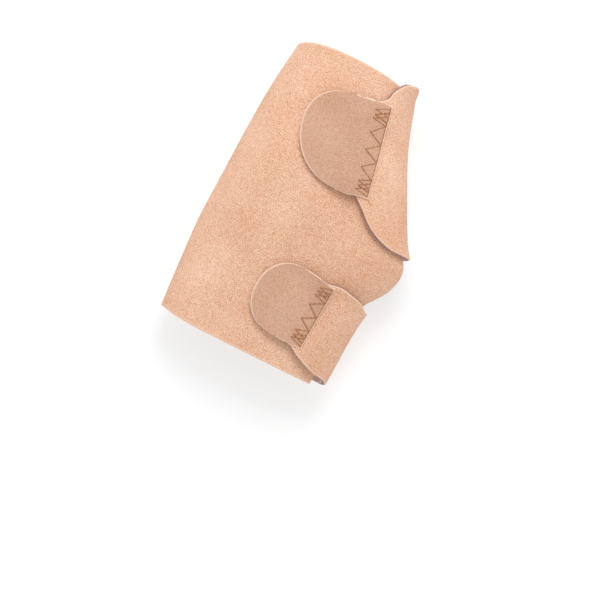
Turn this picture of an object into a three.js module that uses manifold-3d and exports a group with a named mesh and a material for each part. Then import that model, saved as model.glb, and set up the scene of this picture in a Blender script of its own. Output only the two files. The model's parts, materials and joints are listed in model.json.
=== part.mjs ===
// A soft wrist splint, closed as it is worn on a right hand and lying palm down.
//
// One die-cut blank of foam laminate wraps the back of the hand, the little-finger side and the palm.
// Two straps of the same blank come up the thumb side, one through the thumb web and one round the
// wrist, and fold over onto the back of the hand. Each ends in a sewn-on tab of hook tape that grips
// the looped face of the blank. A patch pocket on the palm holds a malleable aluminium stay.
//
// Millimetres. +X points to the thumb side, +Y up the arm, +Z out of the back of the hand.
// While it is built, X is measured from the little-finger side and Y from the finger edge; the
// finished group is then centred over its own footprint, resting on Z = 0.

import * as THREE from "three";
import { mergeVertices } from "three/addons/utils/BufferGeometryUtils.js";
import Module from "manifold-3d";

const wasm = await Module();
wasm.setup();
const { clamp, degToRad, lerp, radToDeg, smoothstep: smooth } = THREE.MathUtils;

// ---- Driving dimensions ----

const LENGTH = 140; // finger edge to forearm edge of the blank
const STRAP_FLARE = 4; // how far the wrist strap runs on past the forearm edge

const KNUCKLE_WIDTH = 80.6; // over the laminate, little-finger side to thumb side
const WEB_WIDTH = 82.5;
const THUMB_BASE_WIDTH = 92.3;
const WRIST_WIDTH = 57.8;
const KNUCKLE_HEIGHT = 30.8; // over the laminate, palm to back of hand
const THUMB_BASE_HEIGHT = 40.5;
const WRIST_HEIGHT = 42;

const FACE = 0.7; // looped face cloth
const CORE = 1.6; // foam core
const LINING = 0.5; // knitted lining
const BOND = 0.05; // adhesive line between two layers of the laminate
const LAMINATE = FACE + BOND + CORE + BOND + LINING;

const LAY_GAP = 0.5; // between pieces that lie on each other
const SEAT = 0.35; // between pieces sewn or welded to each other
const STRAP_RISE = LAMINATE + LAY_GAP; // outer face of a strap over the outer face below it

const PALM_EDGE = 298; // degrees round the section where the thumb opening starts on the palm
const STRAP_CLEAR = 350; // degrees by which the straps lie clear over the blank's free edge
const WEB_STRAP_WIDTH = 41;
const THUMB_OPENING = 29; // along the hand, between the two straps
const WRIST_STRAP_START = WEB_STRAP_WIDTH + THUMB_OPENING;
const HINGE_GAP = 1; // across the bend line between a strap's fixed root and its free end

const TAPE = 0.9; // woven base of the hook tape
const HOOKS = 0.8; // height of the hooks under it
const WEB_TAB_LENGTH = 30.6;
const WRIST_TAB_LENGTH = 34;
const TAB_OVERLAP = 8; // length of tape sewn onto a strap
const TAB_RAMP = 8; // length over which the tape comes down from the strap to the blank
const FOLD_GAP = 0.4; // across the bend line between the sewn tape and the tab
const HOOK_MARGIN = 1.6; // bare tape round the hooks
const THREAD = 0.5;
const THREAD_LIFT = 0.25; // clear of the tape's flat facets
const TOOTH_PITCH = 9.4; // of the zigzag seam
const TOOTH_DEPTH = 5.8;
const TACKS = 3; // close teeth at each end of a seam
const TACK_PITCH = 2.6;
const SEAM_INSET = 1.2; // of the seam in the sewn tape

const STAY_LENGTH = LENGTH - 30; // it ends short of both edges
const STAY_WIDTH = 22;
const STAY_THICKNESS = 1.6;
const STAY_CORNER = 7; // radius of its corners
const TIP_LENGTH = 12;
const TIP_WALL = 0.35;
const TIP_GAP = 0.1; // between the stay and its dipped tips
const POCKET_FABRIC = 0.8;
const POCKET_EASE = 0.4; // the tips' clearance in the pocket, each side
const SLOT_EASE = 0.3; // their clearance between the pocket and the blank, in all
const POCKET_FLANGE = 5; // sewn border of the pocket
const POCKET_SETBACK = 6; // finger edge of the blank to the pocket's closed end
const POCKET_X = 0.481 * KNUCKLE_WIDTH; // of the pocket's closed end, from the little-finger side
const POCKET_TURN = 4.6; // degrees, the pocket follows the forearm's line
const MOUTH_DEPTH = 0.6; // of the stay's end inside the pocket's mouth

const TIP_THICKNESS = STAY_THICKNESS + 2 * (TIP_GAP + TIP_WALL);
const POCKET_SLOT = TIP_THICKNESS + SLOT_EASE; // inside height under the blank
const PALM_LEVEL = POCKET_FABRIC + POCKET_SLOT; // underside of the blank over the ground

// ---- Materials ----

const faceCloth = material(0xe6b996, 0.95, 0);
const foam = material(0xb39b95, 0.9, 0);
const liningCloth = material(0xcdb3a4, 0.9, 0);
const tape = material(0xd2a485, 0.9, 0);
const hookNylon = material(0xd8b79f, 0.6, 0);
const thread = material(0xa5683c, 0.8, 0);
const pocketCloth = material(0xd9b092, 0.9, 0);
const aluminium = material(0xb9bcc0, 0.35, 1);
const vinyl = material(0xe4dcd2, 0.5, 0);

function material(color, roughness, metalness) {
  return new THREE.MeshStandardMaterial({ color, roughness, metalness });
}

// ---- The form: the outer surface of the blank round the hand ----

// Stations up the hand: share of the length, width, height, and the crown's distance from the
// little-finger side. Between the thumb base and the wrist the widths taper by named shares.
const taper = (share) => lerp(THUMB_BASE_WIDTH, WRIST_WIDTH, share);
const rise = (share) => lerp(KNUCKLE_HEIGHT, THUMB_BASE_HEIGHT, share);
const STATIONS = [
  { at: 0, width: KNUCKLE_WIDTH, height: KNUCKLE_HEIGHT, crown: 0.47 },
  { at: 0.285, width: WEB_WIDTH, height: rise(0.5), crown: 0.46 },
  { at: 0.39, width: taper(0.07), height: rise(0.8), crown: 0.42 },
  { at: 0.47, width: THUMB_BASE_WIDTH, height: THUMB_BASE_HEIGHT, crown: 0.4 },
  { at: 0.545, width: taper(0.13), height: THUMB_BASE_HEIGHT + 1.5, crown: 0.41 },
  { at: 0.685, width: taper(0.47), height: WRIST_HEIGHT + 1, crown: 0.44 },
  { at: 0.84, width: taper(0.77), height: WRIST_HEIGHT + 0.5, crown: 0.47 },
  { at: 1, width: WRIST_WIDTH, height: WRIST_HEIGHT, crown: 0.5 },
];
const SIDE_LEVEL = 0.47; // share of the height at which a section is widest
const ROUND_BACK_ULNAR = 2.4; // superellipse exponents of a section's quarters
const ROUND_BACK_RADIAL = 2.1;
const ROUND_PALM = 3.6;

// A smooth curve through the stations' values of one key, at a share of the length.
function through(key, share) {
  let k = 0;
  while (k < STATIONS.length - 2 && share > STATIONS[k + 1].at) k++;
  const slope = (i) => {
    const a = STATIONS[Math.max(i - 1, 0)];
    const b = STATIONS[Math.min(i + 1, STATIONS.length - 1)];
    return (b[key] - a[key]) / (b.at - a.at);
  };
  const [p, q] = [STATIONS[k], STATIONS[k + 1]];
  const h = q.at - p.at;
  const t = (share - p.at) / h;
  const ease = t * t * (3 - 2 * t);
  const bend = h * t * (1 - t);
  return p[key] * (1 - ease) + q[key] * ease + bend * (slope(k) * (1 - t) - slope(k + 1) * t);
}

function station(y) {
  const share = clamp(y / LENGTH, 0, 1);
  const width = through("width", share);
  const height = through("height", share);
  const crown = width * through("crown", share);
  const side = PALM_LEVEL + SIDE_LEVEL * height;
  return { width, crown, side, top: PALM_LEVEL + height };
}

// A point of the form: degrees counted from the thumb side over the back of the hand.
function onForm(degrees, y) {
  const { width, crown, side, top } = station(y);
  const c = Math.cos(degToRad(degrees));
  const s = Math.sin(degToRad(degrees));
  const across = c >= 0 ? width - crown : crown;
  const up = s >= 0 ? top - side : side - PALM_LEVEL;
  const power = 2 / exponent(c, s);
  const x = crown + Math.sign(c) * across * Math.abs(c) ** power;
  const z = side + Math.sign(s) * up * Math.abs(s) ** power;
  return new THREE.Vector3(x, y, z);
}

function exponent(c, s) {
  if (s < 0) return ROUND_PALM;
  return c >= 0 ? ROUND_BACK_RADIAL : ROUND_BACK_ULNAR;
}

// The same point moved out along the form's normal.
function offForm(degrees, y, out) {
  const step = 0.5;
  const round = onForm(degrees + step, y).sub(onForm(degrees - step, y));
  const along = onForm(degrees, y + step).sub(onForm(degrees, y - step));
  return onForm(degrees, y).addScaledVector(along.cross(round).normalize(), out);
}

// The angle at which the back of the form lies over a plan position.
function angleOver(x, y) {
  const { width, crown } = station(y);
  const across = x >= crown ? width - crown : crown;
  const share = Math.min(Math.abs(x - crown) / across, 1);
  const power = (x >= crown ? ROUND_BACK_RADIAL : ROUND_BACK_ULNAR) / 2;
  const angle = radToDeg(Math.acos(share ** power));
  return x >= crown ? angle : 180 - angle;
}

const overBack = (x, y, out) => offForm(angleOver(x, y), y, out);

// ---- Mesh helpers ----

// A closed sheet over a grid. point(i, j, face) gives the grid's outer (0) and inner (1) points;
// columns run round the form, rows up the hand, and keep(i, j) says which cells are there.
function sheet(columns, rows, point, keep = () => true) {
  const positions = [];
  for (let j = 0; j <= rows; j++)
    for (let i = 0; i <= columns; i++)
      for (const face of [0, 1]) positions.push(...point(i, j, face).toArray());
  const at = (i, j, face) => 2 * (j * (columns + 1) + i) + face;
  const there = (i, j) => i >= 0 && j >= 0 && i < columns && j < rows && keep(i, j);
  const index = [];
  const quad = (a, b, c, d) => index.push(a, b, c, a, c, d);
  const wall = (i, j, k, l) => quad(at(i, j, 0), at(i, j, 1), at(k, l, 1), at(k, l, 0));
  for (let j = 0; j < rows; j++)
    for (let i = 0; i < columns; i++) {
      if (!there(i, j)) continue;
      quad(at(i, j, 0), at(i, j + 1, 0), at(i + 1, j + 1, 0), at(i + 1, j, 0));
      quad(at(i, j, 1), at(i + 1, j, 1), at(i + 1, j + 1, 1), at(i, j + 1, 1));
      if (!there(i, j - 1)) wall(i + 1, j, i, j);
      if (!there(i, j + 1)) wall(i, j + 1, i + 1, j + 1);
      if (!there(i - 1, j)) wall(i, j, i, j + 1);
      if (!there(i + 1, j)) wall(i + 1, j + 1, i + 1, j);
    }
  const geometry = new THREE.BufferGeometry();
  geometry.setAttribute("position", new THREE.Float32BufferAttribute(positions, 3));
  geometry.setIndex(index);
  return geometry;
}

// A thread laid in zigzags. Each point has its foot, the way up off the cloth, and the mitre across
// the thread at that turn.
function threadAlong(points) {
  const corner = (i, j, face) => {
    const { foot, up, mitre } = points[j];
    const side = foot.clone().addScaledVector(mitre, i ? 0.5 : -0.5);
    return side.addScaledVector(up, face ? 0 : THREAD);
  };
  return facingOut(sheet(1, points.length - 1, corner));
}

// A sheet whose rows run the other way round has its triangles turned over.
function facingOut(geometry) {
  if (signedVolume(geometry) < 0) {
    const index = geometry.index.array;
    for (let i = 0; i < index.length; i += 3) [index[i], index[i + 1]] = [index[i + 1], index[i]];
  }
  return geometry;
}

function signedVolume(geometry) {
  const corner = [new THREE.Vector3(), new THREE.Vector3(), new THREE.Vector3()];
  const { array } = geometry.index;
  let sum = 0;
  for (let i = 0; i < array.length; i += 3) {
    corner.forEach((v, k) => v.fromBufferAttribute(geometry.attributes.position, array[i + k]));
    sum += corner[0].dot(corner[1].clone().cross(corner[2])) / 6;
  }
  return sum;
}

function solid(geometry) {
  const bare = geometry.clone();
  bare.deleteAttribute("normal");
  bare.deleteAttribute("uv");
  const merged = mergeVertices(bare, 1e-4);
  return new wasm.Manifold(
    new wasm.Mesh({
      numProp: 3,
      vertProperties: merged.attributes.position.array,
      triVerts: new Uint32Array(merged.index.array),
    }),
  );
}

function fromSolid(manifold) {
  const { vertProperties, triVerts } = manifold.getMesh();
  const geometry = new THREE.BufferGeometry();
  geometry.setAttribute("position", new THREE.BufferAttribute(vertProperties, 3));
  geometry.setIndex(new THREE.BufferAttribute(triVerts, 1));
  return geometry;
}

// A rounded plate from z = low to z = high, between two ends on the local Y axis.
function plate(width, from, to, radius, low, high) {
  const half = width / 2;
  const shape = new THREE.Shape();
  shape.moveTo(half, from + radius);
  shape.lineTo(half, to - radius);
  shape.absarc(half - radius, to - radius, radius, 0, Math.PI / 2);
  shape.lineTo(-half + radius, to);
  shape.absarc(-half + radius, to - radius, radius, Math.PI / 2, Math.PI);
  shape.lineTo(-half, from + radius);
  shape.absarc(-half + radius, from + radius, radius, Math.PI, 1.5 * Math.PI);
  shape.lineTo(half - radius, from);
  shape.absarc(half - radius, from + radius, radius, 1.5 * Math.PI, 2 * Math.PI);
  const depth = high - low;
  const geometry = new THREE.ExtrudeGeometry(shape, { depth, bevelEnabled: false, curveSegments: 5 });
  return geometry.translate(0, 0, low);
}

function piece(name, geometry, look) {
  const mesh = new THREE.Mesh(geometry, look);
  mesh.name = name;
  return mesh;
}

// The three layers of the laminate over one grid. outer(i, j, depth) is a point that far below
// the outer face.
function laminate(name, columns, rows, outer, keep) {
  const layers = [
    ["face", 0, FACE, faceCloth],
    ["foam", FACE + BOND, CORE, foam],
    ["lining", FACE + BOND + CORE + BOND, LINING, liningCloth],
  ];
  return layers.map(([layer, depth, thickness, look]) => {
    const point = (i, j, side) => outer(i, j, depth + side * thickness);
    return piece(`${name}_${layer}`, sheet(columns, rows, point, keep), look);
  });
}

// A group whose local Y axis is a bend line, holding the meshes that turn about it.
function bendAbout(name, from, to, meshes) {
  const group = new THREE.Group();
  group.name = name;
  group.position.copy(from);
  const direction = to.clone().sub(from).normalize();
  group.quaternion.setFromUnitVectors(new THREE.Vector3(0, 1, 0), direction);
  group.updateMatrixWorld(true);
  meshes.forEach((mesh) => group.attach(mesh));
  return group;
}

// ---- Straps and tabs, by their places on the back of the hand ----

// For each strap: its bend line and its tab's sewn edge in plan, finger end first, then the tab's
// direction and length. Places across the hand are shares of the width there.
const WEB = {
  name: "web_strap",
  tab: "web_tab",
  bend: [
    new THREE.Vector2(0.913 * KNUCKLE_WIDTH, 0),
    new THREE.Vector2(0.911 * WEB_WIDTH, WEB_STRAP_WIDTH),
  ],
  distalBow: 0.4,
  proximalBow: 1.2,
  foldLift: 0.3,
  sewnEdge: [
    new THREE.Vector2(0.759 * KNUCKLE_WIDTH, 0.273 * WEB_STRAP_WIDTH),
    new THREE.Vector2(0.769 * WEB_WIDTH, 1.083 * WEB_STRAP_WIDTH),
  ],
  heading: degToRad(176),
  tabLength: WEB_TAB_LENGTH,
  tabRound: 0.5 * WEB_TAB_LENGTH,
};
const WRIST = {
  name: "wrist_strap",
  tab: "wrist_tab",
  bend: [
    new THREE.Vector2(0.877 * THUMB_BASE_WIDTH, WRIST_STRAP_START),
    new THREE.Vector2(0.92 * WRIST_WIDTH, LENGTH + STRAP_FLARE),
  ],
  distalBow: 1.7,
  proximalBow: 3.2,
  foldLift: 0.9,
  sewnEdge: [
    new THREE.Vector2(0.624 * THUMB_BASE_WIDTH, 0.611 * LENGTH),
    new THREE.Vector2(0.882 * WRIST_WIDTH, 0.936 * LENGTH),
  ],
  heading: degToRad(182.5),
  tabLength: WRIST_TAB_LENGTH,
  tabRound: 0.56 * WRIST_TAB_LENGTH,
};
const END_INSET = 1.2; // a strap's end is this much narrower than its tab, each side

function tabDirection(strap) {
  return new THREE.Vector2(Math.cos(strap.heading), Math.sin(strap.heading));
}

// The end of a strap's laminate, hidden under its tab.
function strapEnd(strap, t) {
  const edge = strap.sewnEdge[0].clone().lerp(strap.sewnEdge[1], t);
  const along = strap.sewnEdge[1].clone().sub(strap.sewnEdge[0]).normalize();
  edge.addScaledVector(along, END_INSET * (1 - 2 * t));
  return edge.addScaledVector(tabDirection(strap), TAB_OVERLAP);
}

const bendX = (strap, y) => {
  const [a, b] = strap.bend;
  return lerp(a.x, b.x, (y - a.y) / (b.y - a.y));
};

// ---- The blank ----

// Degrees at which the blank's free edge lies on the thumb side, under the straps.
function blankEdge(y) {
  const share = y / LENGTH;
  const underWeb = lerp(24, 14, smooth(share, 0, 0.3));
  const underWrist = lerp(0, 22, smooth(share, 0.5, 1));
  return lerp(underWeb, 9, smooth(share, 0.26, 0.4)) + underWrist;
}

// How far the blank's outer face has left the form, where palm turns into strap.
const spiral = (degrees) => STRAP_RISE * smooth(degrees, PALM_EDGE, STRAP_CLEAR);

function blank() {
  const QUARTER = 6; // columns to a quarter of the section
  const bodyColumns = 3 * QUARTER + 2;
  const strapColumns = 7;
  const columns = bodyColumns + strapColumns;
  const webRows = 4;
  const openRows = 3;
  const wristRows = 8;
  const rows = webRows + openRows + wristRows;
  const rowAt = (j) => {
    if (j <= webRows) return (WEB_STRAP_WIDTH * j) / webRows;
    if (j <= webRows + openRows) return WEB_STRAP_WIDTH + (THUMB_OPENING * (j - webRows)) / openRows;
    const share = (j - webRows - openRows) / wristRows;
    return lerp(WRIST_STRAP_START, LENGTH, share);
  };
  const degreesAt = (i, y) => {
    if (i <= QUARTER) return lerp(blankEdge(y), 90, i / QUARTER);
    if (i <= 3 * QUARTER) return 90 + (180 * (i - QUARTER)) / (2 * QUARTER);
    if (i <= bodyColumns) return lerp(270, PALM_EDGE, (i - 3 * QUARTER) / 2);
    const strap = y < (WEB_STRAP_WIDTH + WRIST_STRAP_START) / 2 ? WEB : WRIST;
    const bend = 360 + angleOver(bendX(strap, y) + HINGE_GAP, y);
    return lerp(PALM_EDGE, bend, (i - bodyColumns) / strapColumns);
  };
  const outer = (i, j, depth) => {
    const row = rowAt(j);
    const flare = STRAP_FLARE * smooth(i, 3 * QUARTER, columns - 2) * smooth(row, 0.7 * LENGTH, LENGTH);
    const y = row + flare;
    const degrees = degreesAt(i, y);
    return offForm(degrees, y, spiral(degrees) - depth);
  };
  const inOpening = (i, j) => i >= bodyColumns && j >= webRows && j < webRows + openRows;
  return laminate("blank", columns, rows, outer, (i, j) => !inOpening(i, j));
}

// ---- A strap's free end with its tab ----

function strapPanel(strap) {
  const columns = 6;
  const rows = 8;
  const outer = (i, j, depth) => {
    const s = i / columns;
    const t = j / rows;
    const end = strapEnd(strap, t);
    const bendY = lerp(strap.bend[0].y, strap.bend[1].y, t);
    const bulge = 4 * s * (1 - s);
    const bow = bulge * (strap.distalBow * (1 - t) ** 2 - strap.proximalBow * t ** 4);
    const x = lerp(bendX(strap, bendY), end.x, s);
    const y = lerp(bendY, end.y, s) - bow;
    return overBack(x, y, STRAP_RISE - depth);
  };
  return laminate(strap.name, columns, rows, outer);
}

// The tab in plan: across from -1 to 1 over its width, gone is how far along its heading.
function tabPlan(strap, across, gone) {
  const [a, b] = strap.sewnEdge;
  const foot = a.clone().lerp(b, (1 + across) / 2);
  return foot.addScaledVector(tabDirection(strap), gone);
}

// How far the tab reaches from its sewn edge: a straight part, then a round end.
function tabReach(strap, across) {
  const roundness = 2.15;
  const arc = (1 - Math.abs(across) ** roundness) ** (1 / roundness);
  return strap.tabLength - strap.tabRound * (1 - arc);
}

// The underside of the tape over the blank, by distance from the sewn edge.
function tapeLevel(gone) {
  const onStrap = STRAP_RISE + SEAT;
  const onHooks = LAY_GAP + HOOKS + SEAT;
  return lerp(onStrap, onHooks, smooth(gone, TAB_OVERLAP, TAB_OVERLAP + TAB_RAMP));
}

// A grid over the tab's width, closer at its sides so that the round end stays round.
function acrossAt(j, rows, margin) {
  return (1 - margin) * Math.sin(((2 * j) / rows - 1) * (Math.PI / 2));
}

function tabGrid(strap, columns, rows, from, to, margin, level, thickness) {
  const point = (i, j, face) => {
    const across = acrossAt(j, rows, margin);
    const start = from(across);
    const gone = lerp(start, to(across), i / columns);
    const plan = tabPlan(strap, across, gone);
    return overBack(plan.x, plan.y, level(gone) + (face ? 0 : thickness));
  };
  return sheet(columns, rows, point);
}

function tabRoot(strap) {
  const end = () => TAB_OVERLAP - FOLD_GAP;
  const geometry = tabGrid(strap, 2, 8, () => 0, end, 0, tapeLevel, TAPE);
  return piece(`${strap.tab}_root`, geometry, tape);
}

function tabFlap(strap) {
  const reach = (across) => tabReach(strap, across);
  const geometry = tabGrid(strap, 7, 14, () => TAB_OVERLAP, reach, 0, tapeLevel, TAPE);
  return piece(`${strap.tab}_flap`, geometry, tape);
}

function tabHooks(strap) {
  const start = () => TAB_OVERLAP + TAB_RAMP;
  const reach = (across) => tabReach(strap, across) - HOOK_MARGIN;
  const width = strap.sewnEdge[0].distanceTo(strap.sewnEdge[1]);
  const margin = (2 * HOOK_MARGIN) / width;
  const geometry = tabGrid(strap, 4, 12, start, reach, margin, () => LAY_GAP, HOOKS);
  return piece(`${strap.tab}_hooks`, geometry, hookNylon);
}

// The zigzag that sews a tab to its strap: close teeth at both ends, wide ones between.
function tabStitching(strap) {
  const width = strap.sewnEdge[0].distanceTo(strap.sewnEdge[1]);
  const run = width - 2 * SEAM_INSET;
  const tack = new Array(TACKS).fill(TACK_PITCH);
  const wide = run - 2 * TACKS * TACK_PITCH;
  const teeth = Math.round(wide / TOOTH_PITCH);
  const pitches = [...tack, ...new Array(teeth).fill(wide / teeth), ...tack];
  const level = tapeLevel(0) + TAPE + THREAD_LIFT;
  const stitch = (along, gone, pitch) => {
    const across = (2 * along) / width - 1;
    const over = (reach, out) => {
      const plan = tabPlan(strap, across, reach);
      return overBack(plan.x, plan.y, out);
    };
    const foot = over(gone, level);
    const up = over(gone, level + 1).sub(foot);
    const slant = Math.hypot(TOOTH_DEPTH, pitch / 2) / (pitch / 2);
    const mitre = over(gone + THREAD * slant, level).sub(foot);
    return { foot, up, mitre };
  };
  const near = SEAM_INSET;
  const points = [];
  let along = SEAM_INSET;
  for (const pitch of pitches) {
    points.push(stitch(along, near, pitch));
    points.push(stitch(along + pitch / 2, near + TOOTH_DEPTH - 2 * THREAD, pitch));
    along += pitch;
  }
  points.push(stitch(along, near, TACK_PITCH));
  return piece(`${strap.tab}_stitching`, threadAlong(points), thread);
}

// The line about which a tab's flap lifts: along its fold, level with the top of the tape.
function foldLine(strap) {
  const top = tapeLevel(TAB_OVERLAP) + TAPE + strap.foldLift;
  return [-1, 1].map((across) => {
    const plan = tabPlan(strap, across, TAB_OVERLAP - FOLD_GAP / 2);
    return overBack(plan.x, plan.y, top);
  });
}

// The line about which a strap opens: along the edge of its root, on the outer face.
function bendLine(strap) {
  return strap.bend.map((p) => overBack(p.x + HINGE_GAP, p.y, STRAP_RISE));
}

function strapAssembly(strap) {
  const [foldFrom, foldTo] = foldLine(strap);
  const flap = bendAbout(`${strap.tab}_fold`, foldFrom, foldTo, [tabFlap(strap), tabHooks(strap)]);
  const [from, to] = bendLine(strap);
  const fixed = [...strapPanel(strap), tabRoot(strap), tabStitching(strap)];
  return bendAbout(`${strap.name}_bend`, from, to, [...fixed, flap]);
}

// ---- Palm pocket and stay, built flat along their own Y axis ----

const SKIN = TIP_GAP + TIP_WALL;
const CUT = 1; // how far a cutting body runs past what it cuts
const tipWidth = STAY_WIDTH + 2 * SKIN;
const slotWidth = tipWidth + 2 * POCKET_EASE;
const tubWidth = slotWidth + 2 * POCKET_FABRIC;
const stayFoot = POCKET_FABRIC + POCKET_EASE + SKIN;
const stayHead = stayFoot + STAY_LENGTH;
const stayLow = POCKET_FABRIC + (POCKET_SLOT - STAY_THICKNESS) / 2;
const pocketMouth = stayHead + SKIN + MOUTH_DEPTH;
const flangeTop = PALM_LEVEL - SEAT;
const flangeLow = flangeTop - POCKET_FABRIC;

function pocket() {
  const flangeWidth = tubWidth + 2 * POCKET_FLANGE;
  const corner = POCKET_FLANGE - POCKET_FABRIC;
  const flange = solid(
    plate(flangeWidth, -POCKET_FLANGE, pocketMouth, corner, flangeLow, flangeTop),
  );
  const tub = solid(plate(tubWidth, 0, pocketMouth, 2 * POCKET_FABRIC, 0, flangeTop));
  const beyond = pocketMouth + POCKET_FLANGE;
  const slot = solid(
    plate(slotWidth, POCKET_FABRIC, beyond, POCKET_FABRIC, POCKET_FABRIC, flangeTop + CUT),
  );
  return piece("stay_pocket", fromSolid(flange.add(tub).subtract(slot)), pocketCloth);
}

// One line of stitching on the pocket's border: up one side, round the closed end and back.
function pocketStitching() {
  const inset = POCKET_FLANGE / 2;
  const high = flangeLow - BOND;
  const low = high - THREAD;
  const past = pocketMouth + tubWidth;
  const outline = (grow) => {
    const width = tubWidth + 2 * (inset + grow);
    return solid(plate(width, -inset - grow, past, inset + grow, low, high));
  };
  const sewn = pocketMouth - inset;
  const above = solid(plate(2 * tubWidth, sewn, past + CUT, CUT, low - CUT, high + CUT));
  const line = outline(THREAD / 2).subtract(outline(-THREAD / 2)).subtract(above);
  return piece("stay_pocket_stitching", fromSolid(line), thread);
}

// The stay's own shape, grown on every side.
function stayPlate(grow) {
  return plate(
    STAY_WIDTH + 2 * grow,
    stayFoot - grow,
    stayHead + grow,
    STAY_CORNER + grow,
    stayLow - grow,
    stayLow + STAY_THICKNESS + grow,
  );
}

// A dipped tip: a thin skin over one end of the stay.
function stayTip(name, from, to) {
  const end = solid(plate(2 * tipWidth, from, to, CUT, -CUT, PALM_LEVEL + CUT));
  const skin = solid(stayPlate(SKIN)).intersect(end).subtract(solid(stayPlate(TIP_GAP)));
  return piece(name, fromSolid(skin), vinyl);
}

function palmHardware() {
  const group = new THREE.Group();
  group.name = "palm_pocket";
  group.position.set(POCKET_X, POCKET_SETBACK + POCKET_FLANGE, 0);
  group.rotation.z = degToRad(POCKET_TURN);
  group.add(
    pocket(),
    pocketStitching(),
    piece("palmar_stay", stayPlate(0), aluminium),
    stayTip("stay_tip_distal", stayFoot - tipWidth, stayFoot + TIP_LENGTH),
    stayTip("stay_tip_proximal", stayHead - TIP_LENGTH, stayHead + tipWidth),
  );
  return group;
}

// ---- Assembly ----

const splint = new THREE.Group();
splint.name = "wrist_splint";
splint.add(...blank(), strapAssembly(WEB), strapAssembly(WRIST), palmHardware());
splint.updateMatrixWorld(true);
const footprint = new THREE.Box3().setFromObject(splint, true);
const middle = footprint.getCenter(new THREE.Vector3());
splint.position.set(-middle.x, -middle.y, -footprint.min.z);

export default splint;
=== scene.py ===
# A soft wrist splint for a right hand, closed and lying palm down. It is built in the order it is
# put together: the foam-laminate blank, its two straps, the hook tabs, then the pocket and the stay.

import json
import math

import bpy
import numpy as np
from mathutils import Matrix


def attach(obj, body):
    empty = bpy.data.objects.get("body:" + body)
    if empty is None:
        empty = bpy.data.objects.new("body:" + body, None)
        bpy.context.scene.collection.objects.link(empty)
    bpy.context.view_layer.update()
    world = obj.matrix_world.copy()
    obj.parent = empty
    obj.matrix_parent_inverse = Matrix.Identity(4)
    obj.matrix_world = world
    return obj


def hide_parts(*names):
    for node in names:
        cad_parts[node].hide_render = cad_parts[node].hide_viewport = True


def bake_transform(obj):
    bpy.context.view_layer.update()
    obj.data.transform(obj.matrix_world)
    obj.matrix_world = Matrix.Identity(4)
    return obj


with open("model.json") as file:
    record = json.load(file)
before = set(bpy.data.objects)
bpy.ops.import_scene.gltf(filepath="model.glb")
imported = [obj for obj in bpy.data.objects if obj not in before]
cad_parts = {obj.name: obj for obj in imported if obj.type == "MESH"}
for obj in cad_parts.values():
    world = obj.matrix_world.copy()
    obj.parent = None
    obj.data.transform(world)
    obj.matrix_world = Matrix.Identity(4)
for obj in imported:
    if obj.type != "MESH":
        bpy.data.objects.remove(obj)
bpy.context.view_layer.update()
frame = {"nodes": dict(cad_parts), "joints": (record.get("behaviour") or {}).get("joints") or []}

# ---- Camera ----
# It looks straight down on the back of the hand, with the fingers' end to the lower left.

camera = bpy.data.objects.new("camera", bpy.data.cameras.new("camera"))
bpy.context.scene.collection.objects.link(camera)
bpy.context.scene.camera = camera
camera.data.sensor_width = 36
camera.data.lens = 153
hand_turn = math.atan2(0.449, 0.893)
camera.location = (0.0075, -0.0401, 1.235)
camera.rotation_euler = (0, 0, hand_turn)
camera.data.clip_end = 20

# ---- The blank ----
# One sheet of 3 mm foam laminate, die-cut and wrapped round the hand: looped face cloth outside,
# foam core, knitted lining against the skin. The three are bonded over their whole area, and the
# core shows at every cut edge.

MM = 0.001
FACE, CORE, LINING, BOND = 0.7, 1.6, 0.5, 0.05
LAMINATE = FACE + BOND + CORE + BOND + LINING
STRAP_RISE = LAMINATE + 0.5
PALM_EDGE = 298
LENGTH, PALM_LEVEL, SIDE_LEVEL = 140, 3.6, 0.47
BACK_ULNAR, BACK_RADIAL, PALM_ROUND = 2.4, 2.1, 3.6
hand_corner = np.array([-47.51, -71.914, 0.0])


def part_way(a, b, share):
    return a + (b - a) * share


section_at = np.array([0, 0.285, 0.39, 0.47, 0.545, 0.685, 0.84, 1])
section_width = np.array([80.6, 83.3, 91.4, 93.0, 86.2, 76.0, 65.8, 58.4])
section_height = np.array(
    [30.8, part_way(30.8, 40.5, 0.5), part_way(30.8, 40.5, 0.8), 40.5, 42, 43, 42.5, 42])
section_crown = np.array([0.47, 0.46, 0.42, 0.4, 0.41, 0.44, 0.47, 0.5])
section_swell = np.array([3.2, 5.5, 5.5, 5.1, 4.8, 4.2, 2.9, 0.2])
slope_ends = (np.arange(8) - 1).clip(0), (np.arange(8) + 1).clip(0, 7)


def through(values, share):
    """A smooth curve through the hand's sections."""
    low, high = slope_ends
    slope = (values[high] - values[low]) / (section_at[high] - section_at[low])
    k = np.searchsorted(section_at, share, side="right").clip(1, 7) - 1
    run = section_at[k + 1] - section_at[k]
    t = (share - section_at[k]) / run
    ease = t * t * (3 - 2 * t)
    bend = run * t * (1 - t)
    return (values[k] * (1 - ease) + values[k + 1] * ease
            + bend * (slope[k] * (1 - t) - slope[k + 1] * t))


def section(y):
    share = np.clip(y / LENGTH, 0, 1)
    width = through(section_width, share) - 0.1 * np.maximum(y - LENGTH, 0)
    height = through(section_height, share)
    crown = width * through(section_crown, share)
    return width, crown, PALM_LEVEL + SIDE_LEVEL * height, PALM_LEVEL + height


def fullness(y):
    """How far the heel of the hand and the little-finger side fill the wrap out."""
    return through(section_swell, np.clip(y / LENGTH, 0, 1))


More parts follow.
